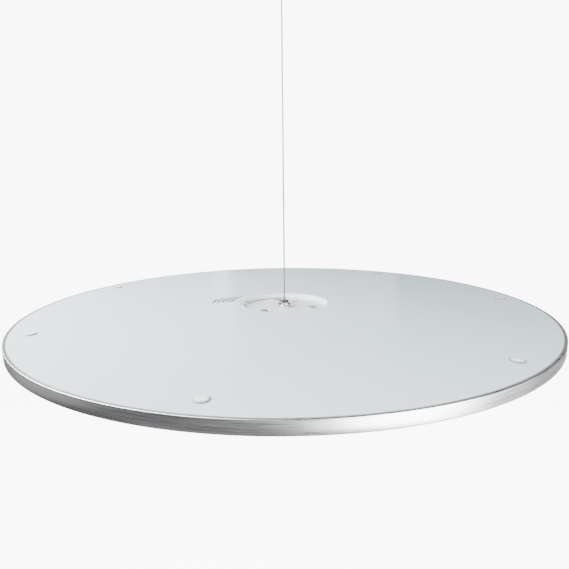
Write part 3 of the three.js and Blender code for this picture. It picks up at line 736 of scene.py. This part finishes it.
def build_grub(name, node, side):
    low, high = corners(node)
    radius = (high.z - low.z) / 2
    length = high.x - low.x
    outer = max(abs(low.x), abs(high.x))
    profile = [(0, outer - length), (radius - 0.2 * MM, outer - length), (radius, outer - length + 0.2 * MM)]
    profile += [(radius, outer - 0.2 * MM), (radius - 0.2 * MM, outer), (0, outer)]
    along = Matrix.Translation((0, 0, GRUB)) @ Matrix.Rotation(side * math.pi / 2, 4, "Y")
    grub = turned(name, profile, 32, closed=False, turn=along)
    cut_away(grub, [cutter(0.6 * MM, outer - 0.9 * MM, outer + MM, (0, 0), 6, along)], 25)
    return grub


def build_ball(name, node):
    centre = middle(node)
    radius = (corners(node)[1] - corners(node)[0]).z / 2
    collar = WIRE_RADIUS + 0.2 * MM
    start = math.degrees(math.acos(collar / radius))
    profile = [(0, -radius)] + arc(0, 0, radius, -84, start, 22)
    profile += [(collar, radius - 0.01 * MM), (0, radius - 0.01 * MM)]
    profile = [(r, z + centre.z) for r, z in profile]
    return turned(name, profile, 48, closed=False)


set_in(build_washer(), "disc", NYLON, "white_nylon", "swivel_washer")
set_in(build_socket(), "swivel", NICKEL, "bright_nickel", "swivel_socket")
set_in(build_swivel_cap(), "swivel", DARK_NICKEL, "dark_nickel", "swivel_cap")
locknut = hex_piece("swivel_locknut", "swivel_nut", SHANK_RADIUS + REST)
set_in(locknut, "swivel", NICKEL, "bright_nickel", "swivel_nut")
for hand, side in (("left", -1), ("right", 1)):
    grub = build_grub(f"grub_{hand}", f"grub_screw_{hand}", side)
    set_in(grub, "swivel", DARK_NICKEL, "dark_nickel", f"grub_screw_{hand}")
set_in(build_ball("wire_end_ball", "lower_ball"), "lower_ball", WIRE_STEEL, "wire_steel", "lower_ball")
set_in(build_ball("wire_top_ball", "upper_ball"), "upper_ball", WIRE_STEEL, "wire_steel", "upper_ball")

# ---- terminal block, contact leaves and leads ----


def build_terminal():
    low, high = corners("terminal_block")
    block = box_piece("terminal_body", low, high, 0.4 * MM)
    wells = []
    for side in (-1, 1):
        x = (low.x + high.x) / 2 + side * 3.2 * MM
        wells.append(cutter(1.5 * MM, high.z - 1.6 * MM, high.z + MM, (x, (low.y + high.y) / 2), 24))
    groove_low = ((low.x + high.x) / 2 - 0.3 * MM, low.y - MM, high.z - 1.0 * MM)
    groove_high = ((low.x + high.x) / 2 + 0.3 * MM, high.y + MM, high.z + MM)
    wells.append(box_piece("cutter", groove_low, groove_high, 0.05 * MM))
    cut_away(block, wells, 25)
    return block


set_in(build_terminal(), "disc", NYLON, "white_nylon", "terminal_block")

LEAD_RADIUS = 0.35 * MM
LEAD_PITCH = 1.6 * MM
TERMINAL_LOW, TERMINAL_HIGH = corners("terminal_block")


def lead_route(side):
    """The same points as the CAD lead, side of the pair's middle."""
    cup_inner = CUP_RADIUS - CUP_WALL
    low = TERMINAL_LOW.z + 1.6 * MM
    height = (FLANGE_HIGH + FLANGE_LOW) / 2
    start_x = (TERMINAL_LOW.x + TERMINAL_HIGH.x) / 2 - side
    start_y = TERMINAL_HIGH.y + REST
    run = cup_inner - 7 * MM - side
    exit_x, exit_y = polar(1, LEAD_EXIT)

    def on_slot(radius):
        return exit_x * radius - exit_y * side, exit_y * radius + exit_x * side, height

    route = [(start_x, start_y, low), (start_x, start_y + 2.5 * MM, low)]
    arc_stops = [(run - 1 * MM, 88, 0), (run, 103, 0), (run + 0.5 * MM, 118, 0), (run + 0.5 * MM, 133, 0)]
    arc_stops.append((run + 0.5 * MM, 147, 0.3 * MM))
    route += [(*polar(radius, angle), low + lift) for radius, angle, lift in arc_stops]
    ends = (cup_inner - 2.5 * MM, CUP_RADIUS + 6.5 * MM, CUP_RADIUS + 18.7 * MM)
    return route + [on_slot(radius) for radius in ends]


for name, node, side, finish, slot in (
    ("lead_red", "lead_positive", -0.5, RED_LEAD, "red_lead"),
    ("lead_black", "lead_negative", 0.5, BLACK_LEAD, "black_lead"),
):
    set_in(tube_along(name, lead_route(side * LEAD_PITCH), LEAD_RADIUS), "disc", finish, slot, node)

# ---- ceiling gripper ----

GRIPPER_LOW, GRIPPER_HIGH = corners("gripper_body")
NIPPLE_RADIUS = GRIPPER_HIGH.x
TOP_BALL = middle("upper_ball").z
SLEEVE_LOW, SLEEVE_HIGH = corners("release_sleeve")
SLEEVE_NECK = 4.3 * MM


def build_gripper():
    seat_top = TOP_BALL - BALL_RADIUS - REST
    seat_low = seat_top - 1.0 * MM
    bore = BALL_RADIUS + 0.5 * MM
    counter = SLEEVE_HIGH.x + REST
    seat = WIRE_RADIUS + 1.0 * MM
    low = GRIPPER_LOW.z
    high = GRIPPER_HIGH.z
    profile = [(counter, low), (NIPPLE_RADIUS, low), (NIPPLE_RADIUS, high), (bore, high)]
    profile += [(bore, seat_top), (seat, seat_top), (seat, seat_low), (counter, seat_low)]
    return turned("gripper_nipple", profile, 72, 0.25 * MM)


def build_gripper_cap():
    low, high = corners("gripper_cap")
    bore = SLEEVE_NECK + REST
    ease = 0.8 * MM
    profile = [(bore, low.z), (high.x - ease, low.z), (high.x, low.z + ease)]
    profile += [(high.x, high.z), (bore, high.z)]
    return turned("gripper_end_ring", profile, 72, 0.15 * MM)


def build_release_sleeve():
    shoulder_low = corners("gripper_cap")[1].z + REST
    neck = SLEEVE_NECK
    ease = 0.3 * MM
    mouth = WIRE_RADIUS + 2.75 * MM
    profile = [(mouth, SLEEVE_LOW.z), (neck - ease, SLEEVE_LOW.z), (neck, SLEEVE_LOW.z + ease)]
    profile += [(neck, shoulder_low), (SLEEVE_HIGH.x, shoulder_low), (SLEEVE_HIGH.x, SLEEVE_HIGH.z)]
    profile += [(WIRE_RADIUS + 1.5 * MM, SLEEVE_HIGH.z)]
    return turned("release_collar", profile, 72, 0.12 * MM)


SPRING_LOW, SPRING_HIGH = corners("sleeve_spring")
SPRING_WIRE = 0.28 * MM
SPRING_TURNS = 2
TURN_POINTS = 12


def build_spring():
    """A round-wire coil between the seat and the sleeve."""
    radius = SPRING_HIGH.x - SPRING_WIRE
    low = SPRING_LOW.z + SPRING_WIRE
    climb = SPRING_HIGH.z - SPRING_WIRE - low
    steps = SPRING_TURNS * TURN_POINTS
    route = [(*polar(radius, 360 * i / TURN_POINTS), low + climb * i / steps) for i in range(steps + 1)]
    return tube_along("return_spring", route, SPRING_WIRE, steps=4)


set_in(build_gripper(), "canopy", NICKEL, "bright_nickel", "gripper_body")
spring = set_in(build_spring(), "canopy", STEEL, "zinc_steel", "sleeve_spring")
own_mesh(spring)
set_in(build_gripper_cap(), "canopy", NICKEL, "bright_nickel", "gripper_cap")
set_in(build_release_sleeve(), "sleeve", DARK_NICKEL, "dark_nickel", "release_sleeve")
for name, node, finish, slot in (
    ("bridge_nut", "gripper_nut_upper", STEEL, "zinc_steel"),
    ("canopy_nut", "gripper_nut_lower", NICKEL, "bright_nickel"),
):
    set_in(hex_piece(name, node, NIPPLE_RADIUS + REST, 0.4 * MM), "canopy", finish, slot, node)

# ---- canopy ----

COVER_LOW, COVER_HIGH = corners("canopy_cover")
COVER_WALL = 1.2 * MM
CANOPY_SCREW = middle("canopy_screw_1").z


def build_cover():
    outer = COVER_HIGH.x
    inner = outer - COVER_WALL
    bore = NIPPLE_RADIUS + REST
    edge = 2.0 * MM
    floor = COVER_LOW.z + COVER_WALL
    profile = [(bore, COVER_LOW.z)] + arc(outer - edge, COVER_LOW.z + edge, edge, -90, 0, 6)
    profile += [(outer, COVER_HIGH.z), (inner, COVER_HIGH.z)]
    profile += arc(inner - 1 * MM, floor + 1 * MM, 1 * MM, 0, -90, 4)
    profile += [(bore, floor)]
    cover = turned("canopy_shell", profile, HUB_STEPS)
    holes = [
        cutter(1.8 * MM, inner - 5 * MM, outer + 5 * MM, (0, 0), 24,
               Matrix.Translation((0, 0, CANOPY_SCREW)) @ Matrix.Rotation(-side * math.pi / 2, 4, "X"))
        for side in (-1, 1)
    ]
    cut_away(cover, holes, 25)
    return cover


def build_canopy_screw(name, node, side):
    low, high = corners(node)
    far = max(abs(low.y), abs(high.y))
    near = min(abs(low.y), abs(high.y))
    head = 2.8 * MM
    under = far - 1.2 * MM
    shank = 1.5 * MM
    profile = [(0, near), (shank, near), (shank, under), (head, under)]
    profile += arc(head - 0.6 * MM, far - 0.6 * MM, 0.6 * MM, 0, 90, 4)
    profile.append((0, far))
    along = Matrix.Translation((0, 0, CANOPY_SCREW)) @ Matrix.Rotation(-side * math.pi / 2, 4, "X")
    screw = turned(name, profile, 40, closed=False, turn=along)
    slot_low = (-4 * MM, -0.35 * MM, far - 0.6 * MM)
    slot_high = (4 * MM, 0.35 * MM, far + MM)
    slot = box_piece("cutter", slot_low, slot_high, 0.02 * MM)
    slot.data.transform(along)
    cut_away(screw, [slot], 25)
    return screw


set_in(build_cover(), "canopy", ENAMEL, "white_enamel", "canopy_cover")
for number, side in ((1, 1), (2, -1)):
    node = f"canopy_screw_{number}"
    set_in(build_canopy_screw(f"cover_screw_{number}", node, side), "canopy", STEEL, "zinc_steel", node)

# ---- alignment mark on the glass ----

MARK_INNER = 67 * MM
MARK_STEP = 5.5 * MM
MARK_HEIGHT = 0.03 * MM
MARK_STROKE = 3.0 * MM


def build_mark():
    """Short printed arcs beside the recess, each a thin band turned part of the way round."""
    bm = bmesh.new()
    base = GLASS_HIGH.z + 0.01 * MM
    for ring in range(5):
        radius = MARK_INNER + ring * MARK_STEP
        start = math.radians(146 + 5 * ring)
        sweep = math.radians(30 - 4 * ring)
        band = ring_profile(radius, radius + MARK_STROKE, base, base + MARK_HEIGHT)
        verts = [bm.verts.new(Matrix.Rotation(start, 3, "Z") @ Vector((r, 0, z))) for r, z in band]
        section = bm.faces.new(verts)
        bmesh.ops.spin(
            bm, geom=[section], cent=(0, 0, 0), axis=(0, 0, 1), angle=sweep, steps=24, use_merge=False
        )
    return finish_mesh(bm, "alignment_mark")


INK = moulded("grey_print", (0.05, 0.055, 0.055), (0.10, 0.11, 0.11), 0.8)
set_in(build_mark(), "disc", INK, "top_glass")

# ---- pieces kept from the frame, inside the disc and the canopy ----

KEPT = {
    "reflector_sheet": FILM,
    "light_guide": ACRYLIC,
    "led_strip": BOARD,
    "feed_ribbon": BOARD,
    "contact_leaf_left": BRONZE,
    "contact_leaf_right": BRONZE,
    "ceiling_plate": STEEL,
    "hanger_bridge": STEEL,
    "driver_case": BLACK_PLASTIC,
    "driver_lid": BLACK_PLASTIC,
    "driver_board": BOARD,
    "mains_terminal": NYLON,
    "driver_lead_positive": RED_LEAD,
    "driver_lead_negative": BLACK_LEAD,
}
for node, finish in KEPT.items():
    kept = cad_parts[node]
    for material_slot in kept.material_slots:
        material_slot.material = finish

# ---- stage and light ----

FLOOR_DROP = 1.3
FLOOR_RADIUS = 8
PAPER_WHITE = 9


def stage_floor():
    """A white floor, seen but casting no light of its own on the lamp."""
    bm = bmesh.new()
    place = Matrix.Translation((0, 0, -FLOOR_DROP))
    bmesh.ops.create_circle(bm, cap_ends=True, radius=FLOOR_RADIUS, segments=96, matrix=place)
    floor = finish_mesh(bm, "floor")
    finish = Finish("floor_paper", (0.9, 0.9, 0.9), 0.8, 0.0, Emission_Strength=PAPER_WHITE)
    finish.shader.inputs["Emission Color"].default_value = (1, 1, 1, 1)
    finish.tint(finish.noise(0.5, 1.0), (0.89, 0.89, 0.89))
    floor.data.materials.append(finish.material)
    floor.visible_glossy = False
    floor.visible_diffuse = False
    floor.visible_transmission = False


def softbox(name, place, aim, width, height, power):
    """A white rectangular lamp; place and aim are measured from the middle of the rim's lip."""
    level = Vector((0, 0, LIP))
    data = bpy.data.lights.new(name, "AREA")
    data.shape = "RECTANGLE"
    data.size = width
    data.size_y = height
    data.energy = power
    light = bpy.data.objects.new(name, data)
    bpy.context.scene.collection.objects.link(light)
    light.location = Vector(place) + level
    light.rotation_euler = (Vector(aim) - Vector(place)).to_track_quat("-Z", "Y").to_euler()
    light.visible_camera = False


def studio_world():
    """White paper where the camera sees it, dim grey walls for everything else."""
    world = bpy.data.worlds.new("studio")
    bpy.context.scene.world = world
    world.use_nodes = True
    nodes = world.node_tree.nodes
    links = world.node_tree.links
    seen = nodes.new("ShaderNodeLightPath")
    walls = nodes["Background"]
    walls.inputs["Color"].default_value = (1, 1, 1, 1)
    walls.inputs["Strength"].default_value = 0.10
    paper = nodes.new("ShaderNodeBackground")
    paper.inputs["Color"].default_value = (1, 1, 1, 1)
    paper.inputs["Strength"].default_value = PAPER_WHITE
    mix = nodes.new("ShaderNodeMixShader")
    links.new(seen.outputs["Is Camera Ray"], mix.inputs["Fac"])
    links.new(walls.outputs["Background"], mix.inputs[1])
    links.new(paper.outputs["Background"], mix.inputs[2])
    links.new(mix.outputs["Shader"], nodes["World Output"].inputs["Surface"])


stage_floor()
studio_world()
softbox("key_low", (0.85, -1.1, -0.25), (0.07, -0.3, 0), 0.9, 0.9, 42)
softbox("key_high", (0.6, -0.75, 0.5), (0.1, -0.1, 0), 0.5, 0.5, 13)
softbox("over_left", (-0.5, -0.45, 0.6), (0, 0, 0), 0.6, 0.6, 16)
softbox("near_left", (-0.75, -0.05, 0.4), (-0.1, 0, 0), 0.5, 0.5, 19)
softbox("back_left", (-0.9, 1.5, 0.45), (0, 0, 0), 1.4, 0.6, 5)
softbox("back_middle", (0.1, 1.7, 0.35), (0, 0, 0), 1.0, 0.5, 1.5)
softbox("side_left", (-1.3, -0.1, -0.1), (0, 0, 0), 1.0, 0.8, 1)
softbox("side_right", (0.9, 1.1, -0.1), (0, 0, 0), 0.9, 0.8, 1)
softbox("underneath", (0, 0, -1.0), (0, 0, 0), 2.4, 2.4, 8)
